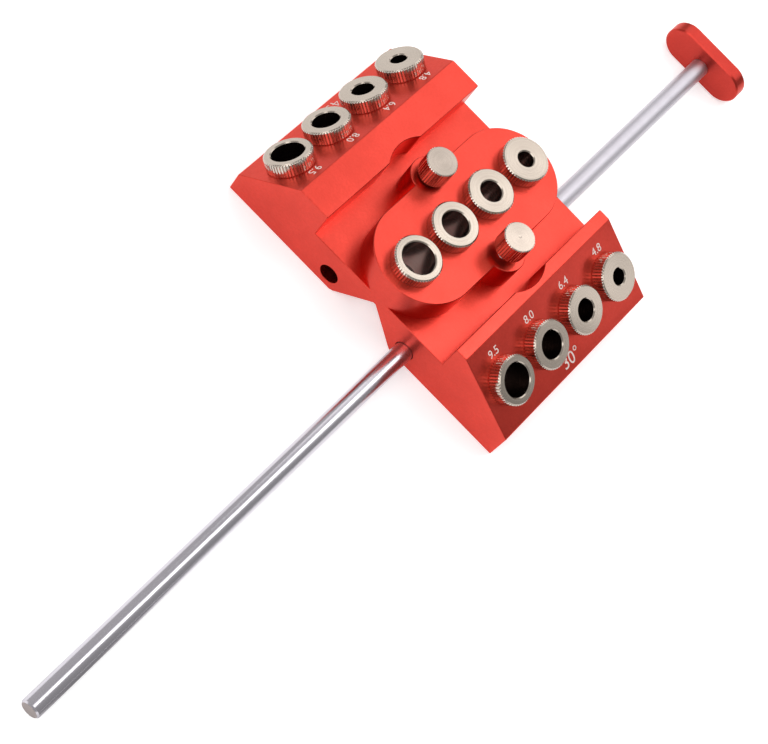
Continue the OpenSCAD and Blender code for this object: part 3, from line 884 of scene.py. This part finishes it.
# %% [markdown]
# The slopes carry plain marks: the drill size above each bush in millimetres, and the row's angle below.
# Text is the quickest way to numerals. Each is made a mesh first, brought to its height in millimetres,
# centred, and then laid on its slope by one matrix whose axes are the reading direction, the way up and
# the slope's normal. The marks stand 0.02 mm proud, which is enough to show and too little to feel. A
# slope is the edge it starts from, the direction in which it falls and the direction in which its marks
# read.

# %% Laser marks
EXTRUDED, PROUD = 0.01, 0.02
SIZE_MARKS, SIZE_MARK_HEIGHT = ("9.5", "8.0", "6.4", "4.8"), 2.4
SIZE_MARKS_DOWN = {"45": 2.95, "30": 4.2}


def laser_mark(name, words, height, middle, reading, up, thinner=0.0):
    """Flat words of a height in mm, centred on a point in mm, with two directions in the surface."""
    text = bpy.data.curves.new(name, "FONT")
    text.body = words
    text.offset = -thinner
    text.extrude = EXTRUDED
    text.resolution_u = 4
    sketch = bpy.data.objects.new(name + "_sketch", text)
    bpy.context.scene.collection.objects.link(sketch)
    bpy.context.view_layer.update()
    mesh = bpy.data.meshes.new_from_object(sketch.evaluated_get(bpy.context.evaluated_depsgraph_get()))
    bpy.data.objects.remove(sketch)
    bm = bmesh.new()
    bm.from_mesh(mesh)
    bpy.data.meshes.remove(mesh)
    bmesh.ops.remove_doubles(bm, verts=bm.verts, dist=1e-5)
    low = [min(v.co[i] for v in bm.verts) for i in range(2)]
    high = [max(v.co[i] for v in bm.verts) for i in range(2)]
    bmesh.ops.translate(bm, vec=(-(low[0] + high[0]) / 2, -(low[1] + high[1]) / 2, 0), verts=bm.verts)
    scale = height / (high[1] - low[1])
    bmesh.ops.scale(bm, vec=(scale * MM, scale * MM, PROUD / EXTRUDED * MM), verts=bm.verts)
    reading, up = Vector(reading), Vector(up)
    axes = Matrix((reading, up, reading.cross(up))).transposed().to_4x4()
    bmesh.ops.transform(bm, matrix=Matrix.Translation(Vector(middle) * MM) @ axes, verts=bm.verts)
    return as_piece(bm, name, [MARK], "block", sharp=20)


SLOPES = {
    "45": (LAND_45_X, Vector((-math.cos(math.pi / 4), 0, -math.sin(math.pi / 4))), (0, -1, 0)),
    "30": (LAND_30_X, Vector((math.cos(math.pi / 6), 0, -math.sin(math.pi / 6))), (0, 1, 0)),
}


def on_slope(row, down, y):
    """A point in mm on a slope, a distance down from the edge of its land."""
    edge, fall, _ = SLOPES[row]
    return Vector((edge, y, TOP)) + fall * down


for row, down in SIZE_MARKS_DOWN.items():
    _, fall, reading = SLOPES[row]
    for i, (y, words) in enumerate(zip(BUSH_ROWS_Y, SIZE_MARKS), start=1):
        laser_mark(f"drill_size_{row}_{i}", words, SIZE_MARK_HEIGHT, on_slope(row, down, y), reading, -fall)
_, fall, reading = SLOPES["45"]
laser_mark("row_angle_45", "45°", height=3.6, middle=on_slope("45", down=19.7, y=2.3), reading=reading,
           up=-fall, thinner=0.012)
_, fall, reading = SLOPES["30"]
laser_mark("row_angle_30", "30°", height=4.0, middle=on_slope("30", down=23.0, y=-0.8), reading=reading,
           up=-fall)
